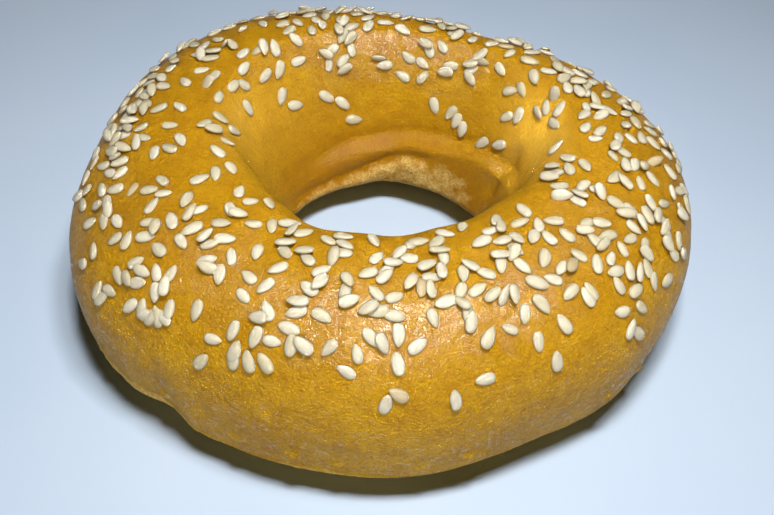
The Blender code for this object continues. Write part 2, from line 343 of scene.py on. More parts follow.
    def inner_roll(self, turn: Array, level: Array) -> Array:
        """Give how far the lower roll stands out into the hole.

        Args:
            turn: Angles round the ring, in radians.
            level: Heights, in millimetres.

        Returns:
            The reach into the hole, in millimetres.
        """
        away = (turn - math.radians(self.roll_toward) + math.pi) % (2.0 * math.pi) - math.pi
        top = self.roll_top + self.roll_slope * np.degrees(away)
        below = smooth_step((top - level) / self.roll_blend)
        foot = smooth_step(level / self.roll_foot)
        return self.roll_size * below * foot * np.exp(-((away / math.radians(self.roll_wide)) ** 4))

    def outer_dent(self, turn: Array, level: Array) -> Array:
        """Give the change of the outer radius at the dent and its roll.

        Args:
            turn: Angles round the ring, in radians.
            level: Heights, in millimetres.

        Returns:
            The change, in millimetres.
        """
        below = smooth_step((self.dent_top - level) / self.dent_fade)
        dent = self.dent_depth * bell(turn, self.dent_toward, self.dent_wide)
        roll = self.dent_roll_size * bell(turn, self.dent_roll_toward, self.dent_wide)
        return (roll - dent) * below

    def point(self, turn: Array, around: Array) -> Array:
        """Find points of the crust.

        Args:
            turn: Angles round the ring from +X, in radians.
            around: Angles round the section, from the outer bulge over the crest.

        Returns:
            The points, in millimetres.
        """
        turn, around = np.broadcast_arrays(turn, np.mod(around, 2.0 * math.pi))
        plan = self.curves(turn)
        outer_radius, outer_level = self.outer_quarter(plan, around)
        hole_radius, hole_level = self.hole_quarter(plan, turn, around)
        lower_radius, lower_level = self.lower_half(plan, around)
        upper = around <= math.pi
        outside = (around < 0.5 * math.pi) | (around > 1.5 * math.pi)
        radius = np.where(upper, np.where(outside, outer_radius, hole_radius), lower_radius)
        level = np.where(upper, np.where(outside, outer_level, hole_level), lower_level)
        radius = radius + np.where(outside, self.outer_dent(turn, level), -self.inner_roll(turn, level))
        valley = bell(turn, self.valley_toward, self.valley_wide)
        valley = valley * ridge(radius, self.valley_radius, self.valley_length)
        swell = 0.0
        for turns, rounds, size, phase in self.uneven:
            swell = swell + size * np.sin(turns * turn + phase) * np.cos(rounds * around + 1.7 * phase)
        swell = swell * smooth_step(level / self.uneven_foot)
        radius = radius + swell * np.cos(around)
        level = level + np.where(upper, swell * np.sin(around) - self.valley_depth * valley, 0.0)
        across = radius * np.cos(turn) + self.plan_shift[0]
        ahead = radius * np.sin(turn) + self.plan_shift[1]
        return np.stack([across, ahead, level], -1)

    def axes(self, turn: Array, around: Array) -> tuple[Array, Array, Array]:
        """Find the unit vectors along the ring, up the section and outwards.

        Args:
            turn: Angles round the ring, in radians.
            around: Angles round the section, in radians.

        Returns:
            The three vectors at each point.
        """
        along = self.point(turn + STEP, around) - self.point(turn - STEP, around)
        over = self.point(turn, around + STEP) - self.point(turn, around - STEP)
        out = np.cross(along, over)
        along = along / np.linalg.norm(along, axis=-1, keepdims=True)
        out = out / np.linalg.norm(out, axis=-1, keepdims=True)
        return along, np.cross(out, along), out

    def strides(self, turn: Array, around: Array) -> tuple[Array, Array]:
        """Measure how far a small step moves a point, along the ring and over the section.

        Args:
            turn: Angles round the ring, in radians.
            around: Angles round the section, in radians.

        Returns:
            The two distances at each point, in millimetres.
        """
        centres = self.point(turn, around)
        along = np.linalg.norm(self.point(turn + STEP, around) - centres, axis=-1)
        over = np.linalg.norm(self.point(turn, around + STEP) - centres, axis=-1)
        return along, over


@dataclass(frozen=True)
class CrustFolds:
    """Small folds of the crust that the solid leaves out, in millimetres and degrees."""

    hole_fades: Fades = (112.0, 12.0, 232.0, -12.0)
    lip_start: float = 140.0
    lip_end: float = 74.0
    lip_fades: Fades = (55.0, 12.0, 160.0, -8.0)
    lip_level_start: float = 8.2
    lip_level_end: float = 12.6
    lip_groove: float = 0.75
    lip_groove_wide: float = 0.8
    lip_swell: float = 0.45
    lip_swell_below: float = 2.2
    lip_swell_wide: float = 1.6
    ledge_fades: Fades = (12.0, 10.0, 128.0, -14.0)
    ledge_level: float = 14.5
    ledge_toward: float = 70.0
    ledge_slope: float = 0.055
    ledge_wave: float = 0.3
    ledge_edge: float = 0.45
    ledge_edge_wide: float = 0.9
    ledge_hollow: float = 0.4
    ledge_hollow_above: float = 2.0
    ledge_hollow_wide: float = 1.1
    fold_toward: float = 24.0
    fold_wide: float = 3.2
    fold_depth: float = 0.8
    fold_fades: Fades = (11.0, 3.0, 24.0, -4.0)
    knobs: Rows = (
        (52.0, 4.0, 132.0, 4.0, 0.25), (47.0, 5.0, 140.0, 4.0, 0.2), (44.0, 4.0, 150.0, 5.0, -0.25),
    )
    blemish: Rows = ((-147.0, 1.3, 99.0, 1.6, 0.25),)
    crease: Rows = ((-129.0, 1.6, 12.0, 16.0, -0.35),)
    blister_turn_wide: float = 1.1
    blister_round_wide: float = 2.4
    blisters: Rows = (
        (-128.0, 348.0, 0.7), (-101.0, 346.0, 0.5), (-93.0, 344.0, 0.45), (-69.0, 346.0, 0.6),
        (-66.0, 342.0, 0.4), (-40.0, 347.0, 0.55), (-143.0, 349.0, 0.5), (-30.0, 345.0, 0.5),
        (-78.0, 343.0, 0.35), (-112.0, 346.0, 0.4), (10.0, 346.0, 0.5), (175.0, 348.0, 0.5),
        (130.0, 346.0, 0.55), (92.0, 344.0, 0.5), (60.0, 347.0, 0.45),
    )

    def lip_level(self, turn: Array) -> Array:
        """Give the height of the crease above the hole's lower lip."""
        share = (math.radians(self.lip_start) - turn) / math.radians(self.lip_start - self.lip_end)
        rise = self.lip_level_end - self.lip_level_start
        return self.lip_level_start + rise * np.clip(share, 0.0, 1.0) ** 2

    def relief(self, turn: Array, around: Array, level: Array) -> Array:
        """Sum the folds at points of the crust.

        Args:
            turn: Angles round the ring, in radians, from -pi to pi.
            around: Angles round the section, in radians.
            level: Heights, in millimetres.

        Returns:
            How far each point moves outwards, in millimetres.
        """
        toward = np.degrees(turn)
        in_hole = window(np.degrees(around), self.hole_fades)
        lip = in_hole * window(toward, self.lip_fades)
        below = level - self.lip_level(turn)
        groove = self.lip_groove * ridge(below, 0.0, self.lip_groove_wide)
        total = lip * (self.lip_swell * ridge(below, -self.lip_swell_below, self.lip_swell_wide) - groove)
        ledge = in_hole * window(toward, self.ledge_fades)
        edge = self.ledge_level - self.ledge_slope * (toward - self.ledge_toward)
        edge = edge + self.ledge_wave * np.sin(11.0 * turn)
        total = total + ledge * self.ledge_edge * ridge(level, edge, self.ledge_edge_wide)
        hollow = ridge(level, edge + self.ledge_hollow_above, self.ledge_hollow_wide)
        total = total - ledge * self.ledge_hollow * hollow
        fold = bell(turn, self.fold_toward, self.fold_wide) * window(level, self.fold_fades)
        total = total - self.fold_depth * fold * in_hole
        total = total + patch_sum(turn, around, self.knobs + self.crease)
        total = total + patch_sum(turn, around, self.blemish) * np.sin(60.0 * turn + 40.0 * around)
        wide, tall = self.blister_turn_wide, self.blister_round_wide
        blisters = tuple((at, wide, up, tall, size) for at, up, size in self.blisters)
        return total + patch_sum(turn, around, blisters)


@dataclass(frozen=True)
class CrustZones:
    """Where the crust is floury, deeper brown with painted shade, glazed or paler with painted light, from 0
    to 1.
    """

    folds: CrustFolds = field(default_factory=CrustFolds)
    flour_level: float = 8.0
    flour_waves: Rows = ((2.0, 1.6, 0.5), (7.0, 0.9, 0.0))
    flour_blend: float = 3.0
    lip_flour: float = 0.70
    lip_above: float = 0.6
    lip_blend: float = 2.0
    lip_start: float = 20.0
    lip_rise: float = 30.0
    lip_foot: float = 4.5
    lip_foot_blend: float = 3.0
    wall_fades: Fades = (112.0, 45.0, 245.0, -30.0)
    wall_low_fade: tuple[float, float] = (22.0, -14.0)
    wall_back_sharpness: float = 1.6
    crown_fade: tuple[float, float] = (22.0, 9.0)
    crown_end_fade: tuple[float, float] = (140.0, -30.0)
    # The hole's wall: deeper brown, partly baked colour and partly painted shade that grows low down and is
    # strongest on the back wall; the crown: painted shade against the stronger light on top.
    wall_bake_and_shade: float = 0.30
    wall_shade_low: float = 0.60
    wall_shade_front: float = 0.35
    crown_shade: float = 0.38
    glaze_places: Rows = (
        (-84.0, 34.0, 58.0, 18.0, 1.0), (-122.0, 14.0, 58.0, 14.0, 0.8), (-40.0, 18.0, 74.0, 18.0, 0.6),
        (96.0, 26.0, 116.0, 14.0, 1.0), (142.0, 26.0, 132.0, 20.0, 1.0), (16.0, 16.0, 128.0, 20.0, 1.0),
        (50.0, 20.0, 128.0, 14.0, 0.8), (-150.0, 18.0, 62.0, 20.0, 0.45),
    )
    # Painted light: paler gold on the hole's right shoulder and, weaker, on its left wall.
    painted_light_places: Rows = ((16.0, 18.0, 128.0, 22.0, 0.9), (165.0, 26.0, 135.0, 26.0, 0.38))

    def flour(self, turn: Array, around: Array, level: Array) -> Array:
        """Give the floury band round the foot and the hole's lower lip.

        Args:
            turn: Angles round the ring, in radians.
            around: Angles round the section, in radians.
            level: Heights, in millimetres.

        Returns:
            Shares from 0 to 1.
        """
        degrees = np.degrees(around)
        outside = (degrees < 90.0) | (degrees > 270.0)
        waves = sum(size * np.sin(lobes * turn + phase) for lobes, size, phase in self.flour_waves)
        edge = self.flour_level + waves
        foot = ramp(level, edge, -self.flour_blend)
        lip = self.lip_flour * ramp(level, self.folds.lip_level(turn) + self.lip_above, -self.lip_blend)
        lip = lip * ramp(np.degrees(turn), self.lip_start, self.lip_rise)
        lip = np.maximum(lip, ramp(level, self.lip_foot, -self.lip_foot_blend))
        return np.where(outside, foot, lip)

    def bake(self, turn: Array, around: Array, level: Array) -> Array:
        """Give the hole wall's deeper brown, partly baked colour and partly painted shade that is deepest low
        down and on the back wall, and the crown's painted shade that offsets the stronger light on top.

        Args:
            turn: Angles round the ring, in radians.
            around: Angles round the section, in radians.
            level: Heights, in millimetres.

        Returns:
            Shares from 0 to 1.
        """
        degrees = np.degrees(around)
        wall = window(degrees, self.wall_fades)
        # Painted shade of the hole: a little over the whole wall and more low down.
        wall = wall * (self.wall_bake_and_shade + self.wall_shade_low * ramp(level, *self.wall_low_fade))
        back = smooth_step(self.wall_back_sharpness * np.sin(turn))
        # The front and sides of the hole get less of this painted shade than the back wall.
        wall = wall * (self.wall_shade_front + (1.0 - self.wall_shade_front) * back)
        # Painted shade that darkens the crown, where the lamps light it most.
        crown = self.crown_shade * ramp(level, *self.crown_fade)
        return np.maximum(wall, crown * ramp(degrees, *self.crown_end_fade))

    def pale(self, turn: Array, around: Array) -> Array:
        """Give the painted light, a paler gold, on the hole's right and left shoulders."""
        return np.clip(patch_sum(turn, around, self.painted_light_places), 0.0, 1.0)

    def glaze(self, turn: Array, around: Array) -> Array:
        """Give the share of wet-looking glaze."""
        return np.clip(patch_sum(turn, around, self.glaze_places), 0.0, 1.0)


class NodeSheet:
    """A small helper that lays nodes into a tree and joins them."""

    def __init__(self, tree: bpy.types.NodeTree) -> None:
        """Start on a tree.

        Args:
            tree: The node tree to fill.
        """
        self.tree = tree
        self.count = 0

    def add(self, kind: str, **settings: object) -> bpy.types.Node:
        """Add a node.

        Args:
            kind: The node's type name.
            **settings: Properties to set on the node.

        Returns:
            The new node.
        """
        node = self.tree.nodes.new(kind)
        node.location = (220.0 * (self.count % 8), -260.0 * (self.count // 8))
        self.count += 1
        for name, value in settings.items():
            setattr(node, name, value)
        return node

    def put(self, node: bpy.types.Node, **values: object) -> bpy.types.Node:
        """Set a node's input values by their names, with spaces as underscores.

        Args:
            node: The node.
            **values: Input names and values.

        Returns:
            The same node.
        """
        for name, value in values.items():
            node.inputs[name.replace("_", " ")].default_value = value
        return node

    def join(self, output: Socket, entry: Socket) -> None:
        """Link an output to an input."""
        self.tree.links.new(output, entry)

    def math(self, way: str, first: Socket, second: Socket | float) -> Socket:
        """Add a sum of two values.

        Args:
            way: The operation's name.
            first: The first value.
            second: The second value, or a number.

        Returns:
            The result.
        """
        node = self.add("ShaderNodeMath", operation=way)
        self.join(first, node.inputs[0])
        if isinstance(second, Socket):
            self.join(second, node.inputs[1])
        else:
            node.inputs[1].default_value = second
        return node.outputs[0]


def linear(red: int, green: int, blue: int) -> tuple[float, float, float, float]:
    """Turn a screen colour of 0 to 255 into a linear one.

    Args:
        red: Red part.
        green: Green part.
        blue: Blue part.

    Returns:
        Linear red, green, blue and alpha.
    """
    parts = [part / 255.0 for part in (red, green, blue)]
    flat = [part / 12.92 if part <= 0.04045 else ((part + 0.055) / 1.055) ** 2.4 for part in parts]
    return flat[0], flat[1], flat[2], 1.0


class ShaderSheet(NodeSheet):
    """Nodes of a material, in millimetres of the piece's own coordinates."""

    def __init__(self, name: str) -> None:
        """Start a material with a Principled BSDF.

        Args:
            name: The material's name.
        """
        self.material = bpy.data.materials.new(name)
        self.material.use_nodes = True
        super().__init__(self.material.node_tree)
        self.shader = self.tree.nodes["Principled BSDF"]
        place = self.add("ShaderNodeTexCoord")
        sized = self.add("ShaderNodeMapping")
        sized.inputs["Scale"].default_value = (1.0 / MM,) * 3
        self.join(place.outputs["Object"], sized.inputs["Vector"])
        self.place = sized.outputs["Vector"]

    def noise(self, scale: float, detail: float = 3.0, rough: float = 0.5, twist: float = 0.0) -> Socket:
        """Add a noise.

        Args:
            scale: Features per millimetre.
            detail: Octaves.
            rough: Strength of the finer octaves.
            twist: Distortion.

        Returns:
            The noise's value.
        """
        node = self.add("ShaderNodeTexNoise")
        self.put(node, Scale=scale, Detail=detail, Roughness=rough, Distortion=twist)
        self.join(self.place, node.inputs["Vector"])
        return node.outputs["Fac"]

    def attribute(self, name: str) -> Socket:
        """Read a number that is stored on the piece's points."""
        node = self.add("ShaderNodeAttribute", attribute_name=name)
        return node.outputs["Fac"]

    def span(self, value: Socket, low: float, high: float, start: float, end: float) -> Socket:
        """Map a range of a value onto another range, held at its ends.

        Args:
            value: The value.
            low: Where the range starts.
            high: Where it ends.
            start: Result at low.
            end: Result at high.

        Returns:
            The mapped value.
        """
        node = self.add("ShaderNodeMapRange")
        self.join(value, node.inputs["Value"])
        for name, number in (("From Min", low), ("From Max", high), ("To Min", start), ("To Max", end)):
            node.inputs[name].default_value = number
        return node.outputs["Result"]

    def mix(self, share: Socket, first: object, second: object) -> Socket:
        """Blend two colours, each a socket or a linear colour.

        Args:
            share: How much of the second shows.
            first: The first colour.
            second: The second colour.

        Returns:
            The blended colour.
        """
        node = self.add("ShaderNodeMix", data_type="RGBA")
        self.join(share, node.inputs[0])
        for value, entry in ((first, node.inputs[6]), (second, node.inputs[7])):
            if isinstance(value, Socket):
                self.join(value, entry)
            else:
                entry.default_value = value
        return node.outputs[2]

    def bump(self, height: Socket, deep: float, strength: float = 1.0, entry: str = "Normal") -> None:
        """Add a bump and join it to the shader.

        Args:
            height: Height from 0 to 1.
            deep: What a height of 1 is, in millimetres.
            strength: Share of the bump that counts.
            entry: The shader's input that takes the bumped normal.
        """
        node = self.put(self.add("ShaderNodeBump"), Strength=strength, Distance=deep * MM)
        self.join(height, node.inputs["Height"])
        self.join(node.outputs["Normal"], self.shader.inputs[entry])


@dataclass(frozen=True)
class GlazedCrust:
    """Finish of the crust: golden, mottled, glazed in places and floury below, with painted shade in the hole
    and on the crown and painted light on the hole's shoulders.
    """

    gold: tuple[int, int, int] = (158, 118, 8)
    pale_gold: tuple[int, int, int] = (172, 131, 14)
    deep_gold: tuple[int, int, int] = (130, 87, 3)
    # Painted shade colour: a deeper brown for the hole's wall and the crown.
    bake_and_shade_brown: tuple[int, int, int] = (142, 94, 2)
    # Painted light colour: a paler gold for the hole's shoulders.
    painted_light_gold: tuple[int, int, int] = (240, 188, 60)
    floury: tuple[int, int, int] = (202, 170, 98)
    floury_dark: tuple[int, int, int] = (146, 108, 40)
    speck: tuple[int, int, int] = (112, 70, 8)
    bloom: tuple[int, int, int] = (188, 145, 26)
    roughness: float = 0.50
    floury_roughness: float = 0.80
    specular: float = 0.07
    coat_roughness: float = 0.04
    coat_ior: float = 1.65
    grain_deep: float = 0.38
    glint_deep: float = 0.14

    def colour(self, sheet: ShaderSheet) -> Socket:
        """Lay the crust's colours over one another.

        Args:
            sheet: The material's sheet.

        Returns:
            The colour.
        """
        patches = sheet.span(sheet.noise(0.08, 3.0, 0.55), 0.36, 0.64, 0.0, 1.0)
        colour = sheet.mix(patches, linear(*self.gold), linear(*self.pale_gold))
        layers = (
            ((0.30, 4.0, 0.6, 0.5), (0.42, 0.68), 0.55, self.deep_gold),
            ((2.0, 4.0, 0.75, 0.6), (0.46, 0.68), 0.75, self.deep_gold),
            ((2.7, 3.0, 0.7, 0.4), (0.52, 0.72), 0.45, self.bloom),
            ((1.1, 1.0, 0.4), (0.70, 0.76), 0.55, self.speck),
        )
        for noise, (low, high), share, tint in layers:
            spots = sheet.span(sheet.noise(*noise), low, high, 0.0, share)
            colour = sheet.mix(spots, colour, linear(*tint))
        # Painted shade (deeper brown of the hole and crown) and painted light (paler gold of the hole's
        # shoulders).
        for name, tint in (("bake", self.bake_and_shade_brown), ("pale", self.painted_light_gold)):
            colour = sheet.mix(sheet.attribute(name), colour, linear(*tint))
        dust = sheet.span(sheet.noise(1.9, 5.0, 0.75, 0.8), 0.36, 0.60, 0.0, 1.0)
        powder = sheet.mix(dust, linear(*self.floury_dark), linear(*self.floury))
        flour = sheet.attribute("flour")
        ragged = sheet.math("ADD", flour, sheet.span(sheet.noise(0.45, 4.0, 0.6), 0.3, 0.7, -0.35, 0.35))
        dusted = sheet.span(flour, 0.0, 0.15, 0.0, 1.0)
        covered = sheet.math("MULTIPLY", sheet.span(ragged, 0.25, 0.85, 0.0, 1.0), dusted)
        return sheet.mix(covered, colour, powder)

    def coat(self, sheet: ShaderSheet, flour: Socket) -> Socket:
        """Give the weight of the glaze: pools on the crown, small beads elsewhere, none on flour.

        Args:
            sheet: The material's sheet.
            flour: The share of flour.

        Returns:
            The coat's weight.
        """
        pools = sheet.span(sheet.noise(0.35, 3.0, 0.6, 0.8), 0.32, 0.52, 0.55, 1.0)
        shine = sheet.math("MULTIPLY", pools, sheet.span(sheet.attribute("glaze"), 0.0, 0.4, 0.12, 1.0))
        beads = sheet.span(sheet.noise(1.3, 2.0, 0.5, 0.4), 0.57, 0.63, 0.0, 0.7)
        clear = sheet.span(flour, 0.0, 0.1, 1.0, 0.0)
        return sheet.math("MULTIPLY", sheet.math("MAXIMUM", shine, beads), clear)

    def facets(self, sheet: ShaderSheet) -> Socket:
        """Give the height of the glaze's small facets, which are stronger in some regions."""
        fine = sheet.math("MULTIPLY", sheet.noise(3.0, 2.0, 0.5, 0.8), 0.35)
        height = sheet.math("ADD", sheet.noise(1.5, 3.0, 0.6, 0.8), fine)
        region = sheet.span(sheet.noise(0.45, 3.0, 0.6, 0.4), 0.35, 0.68, 0.6, 2.4)
        return sheet.math("MULTIPLY", height, region)

    def material(self) -> bpy.types.Material:
        """Make the crust's material."""
        sheet = ShaderSheet("glazed_crust")
        shader = sheet.shader
        sheet.join(self.colour(sheet), shader.inputs["Base Color"])
        flour = sheet.attribute("flour")
        roughness = sheet.span(flour, 0.0, 0.8, self.roughness, self.floury_roughness)
        sheet.join(roughness, shader.inputs["Roughness"])
        sheet.put(shader, Specular_IOR_Level=self.specular)
        sheet.put(shader, Coat_Roughness=self.coat_roughness, Coat_IOR=self.coat_ior)
        sheet.join(self.coat(sheet, flour), shader.inputs["Coat Weight"])
        pores = sheet.math("MULTIPLY", sheet.noise(3.2, 2.0, 0.6), 0.3)
        sheet.bump(sheet.math("ADD", sheet.noise(1.25, 3.0, 0.6, 1.0), pores), self.grain_deep)
        sheet.bump(self.facets(sheet), self.glint_deep, entry="Coat Normal")
        return sheet.material


@dataclass(frozen=True)
class HulledSesame:
    """Finish of the seeds: creamy, a little see-through, some of them tan."""

    cream: tuple[int, int, int] = (164, 156, 132)
    ivory: tuple[int, int, int] = (180, 174, 156)
    tan: tuple[int, int, int] = (150, 126, 78)
    tip: tuple[int, int, int] = (150, 134, 98)
    roughness: float = 0.46
    specular: float = 0.30
    glow: float = 0.18
    glow_radius: Triple = (1.0, 0.75, 0.45)
    glow_scale: float = 0.6
    ridge_deep: float = 0.05

    def material(self) -> bpy.types.Material:
        """Make the material.

        Returns:
            The seeds' material.
        """
        sheet = ShaderSheet("hulled_sesame")
        tone = sheet.attribute("seed_tone")
        colour = sheet.mix(sheet.span(tone, 0.1, 0.9, 0.0, 1.0), linear(*self.cream), linear(*self.ivory))
        colour = sheet.mix(sheet.span(tone, 0.975, 0.99, 0.0, 0.70), colour, linear(*self.tan))
        cloud = sheet.span(sheet.noise(0.9, 3.0, 0.6), 0.40, 0.70, 0.0, 0.28)
        colour = sheet.mix(cloud, colour, linear(*self.tip))
        ends = sheet.span(sheet.attribute("seed_tip"), 0.72, 1.0, 0.0, 0.6)
        colour = sheet.mix(ends, colour, linear(*self.tip))
        sheet.join(colour, sheet.shader.inputs["Base Color"])
        sheet.put(sheet.shader, Roughness=self.roughness, Specular_IOR_Level=self.specular)
        sheet.put(sheet.shader, Subsurface_Weight=self.glow, Subsurface_Radius=self.glow_radius)
        sheet.put(sheet.shader, Subsurface_Scale=self.glow_scale * MM)
        sheet.bump(sheet.noise(2.6, 2.0, 0.5), self.ridge_deep)
        return sheet.material


@dataclass(frozen=True)
class PaleTable:
    """Finish of the floor: smooth, pale and a little blue."""

    colour: tuple[int, int, int] = (206, 225, 247)
    roughness: float = 0.55

    def material(self) -> bpy.types.Material:
        """Make the material.

        Returns:
            The floor's material.
        """
        sheet = ShaderSheet("pale_table")
        tint = sheet.span(sheet.noise(0.02, 2.0), 0.3, 0.7, 0.0, 0.12)
        colour = sheet.mix(tint, linear(*self.colour), (1.0, 1.0, 1.0, 1.0))
        sheet.join(colour, sheet.shader.inputs["Base Color"])
        sheet.shader.inputs["Roughness"].default_value = self.roughness
        sheet.bump(sheet.noise(0.8, 2.0), 0.01, 0.4)
        return sheet.material


class TreeSheet(NodeSheet):
    """A Geometry Nodes tree with named inputs, used once and then applied."""

    def __init__(self, name: str) -> None:
        """Start a tree with a geometry input and output.

        Args:
            name: The tree's name.
        """
        super().__init__(bpy.data.node_groups.new(name, "GeometryNodeTree"))
        self.identifiers: dict[str, str] = {}
        self.tree.interface.new_socket(name="Geometry", in_out="INPUT", socket_type="NodeSocketGeometry")
        self.tree.interface.new_socket(name="Geometry", in_out="OUTPUT", socket_type="NodeSocketGeometry")
        self.entry = self.add("NodeGroupInput")
        self.result = self.add("NodeGroupOutput")

    def input(self, name: str, kind: str, value: object = None) -> Socket:
        """Add a named input.

        Args:
            name: The input's name.
            kind: The socket's type name.
            value: Its default, where it takes one.

        Returns:
            The socket that gives the input inside the tree.
        """
        socket = self.tree.interface.new_socket(name=name, in_out="INPUT", socket_type=kind)
        if value is not None:
            socket.default_value = value
        self.identifiers[name] = socket.identifier
        return self.entry.outputs[name]

    def named(self, name: str, kind: str) -> Socket:
        """Read an attribute of the points.

        Args:
            name: The attribute's name.
            kind: FLOAT, INT or FLOAT_VECTOR.

        Returns:
            The attribute's value.
        """
        node = self.add("GeometryNodeInputNamedAttribute", data_type=kind)
        node.inputs["Name"].default_value = name
        return node.outputs["Attribute"]

    def finish(self, geometry: Socket, material: Socket) -> None:
        """End the tree with Realize Instances and Set Material.

        Args:
            geometry: The geometry made so far.
            material: The material input.
        """
        real = self.add("GeometryNodeRealizeInstances")
        self.join(geometry, real.inputs["Geometry"])
        dressed = self.add("GeometryNodeSetMaterial")
        self.join(real.outputs["Geometry"], dressed.inputs["Geometry"])
        self.join(material, dressed.inputs["Material"])
        self.join(dressed.outputs["Geometry"], self.result.inputs["Geometry"])

    def apply(self, piece: bpy.types.Object, values: dict[str, object]) -> None:
        """Run the tree on a piece and keep the result as a plain mesh.

        Args:
            piece: The object that carries the starting geometry.
            values: Input names and what to set them to.
        """
        modifier = piece.modifiers.new(self.tree.name, "NODES")
        modifier.node_group = self.tree
        for name, value in values.items():
            modifier[self.identifiers[name]] = value
        bpy.context.view_layer.update()
        graph = bpy.context.evaluated_depsgraph_get()
        made = bpy.data.meshes.new_from_object(piece.evaluated_get(graph), depsgraph=graph)
        piece.modifiers.remove(modifier)
        bare = piece.data
        piece.data = made
        bpy.data.meshes.remove(bare)
        made.name = piece.name


@dataclass
class CrustSkin:
    """The crust: a fine grid on the form, with folds, wrinkles and pores."""

    form: BagelForm = field(default_factory=BagelForm)
    folds: CrustFolds = field(default_factory=CrustFolds)
    zones: CrustZones = field(default_factory=CrustZones)
    finish: GlazedCrust = field(default_factory=GlazedCrust)
    turn_steps: int = 470
    upper_steps: int = 194
    base_steps: int = 14
    swell_size: float = 7.0
    swell_height: float = 0.42
    ripple_size: float = 2.1
    ripple_height: float = 0.16
    wrinkle_size: float = 1.15
    wrinkle_height: float = 0.55
    fold_foot: float = 1.5
    lift_foot: float = 2.5

    def rounds(self) -> Array:
        """Space the grid's rows, few on the flat base and many elsewhere."""
        half = self.form.base_half_round
        start = -0.5 * math.pi + half
        upper = np.linspace(start, 1.5 * math.pi - half, self.upper_steps, endpoint=False)
        base = np.linspace(1.5 * math.pi - half, 1.5 * math.pi + half, self.base_steps, endpoint=False)
        return np.concatenate([upper, base])

    def grid(self) -> bpy.types.Object:
        """Make the grid with its zones stored on its points.

        Returns:
            The crust object, before its relief.
        """
        turns = np.linspace(-math.pi, math.pi, self.turn_steps, endpoint=False)[:, None]
        rounds = np.mod(self.rounds(), 2.0 * math.pi)[None, :]
        turn, around = np.broadcast_arrays(turns, rounds)
        centres = self.form.point(turn, around)
        out = self.form.axes(turn, around)[2]
        level = centres[..., 2]
        fold = self.folds.relief(turn, around, level) * smooth_step(level / self.fold_foot)
        points = centres + out * fold[..., None]
        points[..., 2] = np.maximum(points[..., 2], 0.0)
        rows, columns = turn.shape
        index = np.arange(rows * columns).reshape(rows, columns)
        ahead = np.roll(index, -1, axis=0)
        quads = np.stack([index, ahead, np.roll(ahead, -1, axis=1), np.roll(index, -1, axis=1)], -1)
        mesh = bpy.data.meshes.new("crust")
        mesh.from_pydata((points * MM).reshape(-1, 3).tolist(), [], quads.reshape(-1, 4).tolist())
        self.store(mesh, "flour", self.zones.flour(turn, around, level))
        # Deeper brown and painted shade of the hole's wall, and painted shade of the crown.
        self.store(mesh, "bake", self.zones.bake(turn, around, level))
        self.store(mesh, "glaze", self.zones.glaze(turn, around))
        # Painted light on the hole's right and left shoulders.
        self.store(mesh, "pale", self.zones.pale(turn, around))
        self.store(mesh, "lifted", smooth_step(level / self.lift_foot))
        piece = bpy.data.objects.new("crust", mesh)
        bpy.context.scene.collection.objects.link(piece)
        return piece

    def store(self, mesh: bpy.types.Mesh, name: str, values: Array) -> None:
        """Store a number on each point of a mesh.

        Args:
            mesh: The mesh.
            name: The attribute's name.
            values: A number for each point.
        """
        layer = mesh.attributes.new(name, "FLOAT", "POINT")
        layer.data.foreach_set("value", np.ascontiguousarray(values, dtype=np.float32).ravel())

    def relief_tree(self) -> TreeSheet:
        """Build the tree that raises swells, ripples and floury wrinkles.

        Returns:
            The tree, with named inputs for its sizes in millimetres.
        """
        sheet = TreeSheet("crust_relief")
        finish = sheet.input("Finish", "NodeSocketMaterial")
        place = sheet.add("ShaderNodeVectorMath", operation="SCALE")
        sheet.join(sheet.add("GeometryNodeInputPosition").outputs["Position"], place.inputs[0])
        place.inputs["Scale"].default_value = 1.0 / MM
        total = None
        for label, detail, mask in (("Swell", 1.0, None), ("Ripple", 2.0, None), ("Wrinkle", 4.0, "flour")):
            size = sheet.input(f"{label} Size", "NodeSocketFloat", 1.0)
            height = sheet.input(f"{label} Height", "NodeSocketFloat", 0.1)
            noise = sheet.add("ShaderNodeTexNoise")
            sheet.put(noise, Detail=detail, Roughness=0.55)
            sheet.join(place.outputs["Vector"], noise.inputs["Vector"])
            one = sheet.add("ShaderNodeMath", operation="DIVIDE")
            one.inputs[0].default_value = 1.0
            sheet.join(size, one.inputs[1])
            sheet.join(one.outputs[0], noise.inputs["Scale"])
            part = sheet.math("MULTIPLY", sheet.math("SUBTRACT", noise.outputs["Fac"], 0.5), height)
            if mask:
                part = sheet.math("MULTIPLY", part, sheet.named(mask, "FLOAT"))
            total = part if total is None else sheet.math("ADD", total, part)
        total = sheet.math("MULTIPLY", total, sheet.named("lifted", "FLOAT"))
        push = sheet.add("ShaderNodeVectorMath", operation="SCALE")
        sheet.join(sheet.add("GeometryNodeInputNormal").outputs["Normal"], push.inputs[0])
        sheet.join(sheet.math("MULTIPLY", total, MM), push.inputs["Scale"])
        moved = sheet.add("GeometryNodeSetPosition")
        sheet.join(sheet.entry.outputs["Geometry"], moved.inputs["Geometry"])
        sheet.join(push.outputs["Vector"], moved.inputs["Offset"])
        sheet.finish(moved.outputs["Geometry"], finish)
        return sheet

    def build(self) -> bpy.types.Object:
        """Build the crust and let it stand for the solid part.

        Returns:
            The finished crust.
        """
        piece = self.grid()
        self.relief_tree().apply(piece, {
            "Finish": self.finish.material(),
            "Swell Size": self.swell_size, "Swell Height": self.swell_height,
            "Ripple Size": self.ripple_size, "Ripple Height": self.ripple_height,
            "Wrinkle Size": self.wrinkle_size, "Wrinkle Height": self.wrinkle_height,
        })
        piece.data.shade_smooth()
        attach(piece, "root")
        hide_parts("bagel")
        LOG.info("crust: %d points, %d faces", len(piece.data.vertices), len(piece.data.polygons))
        return piece


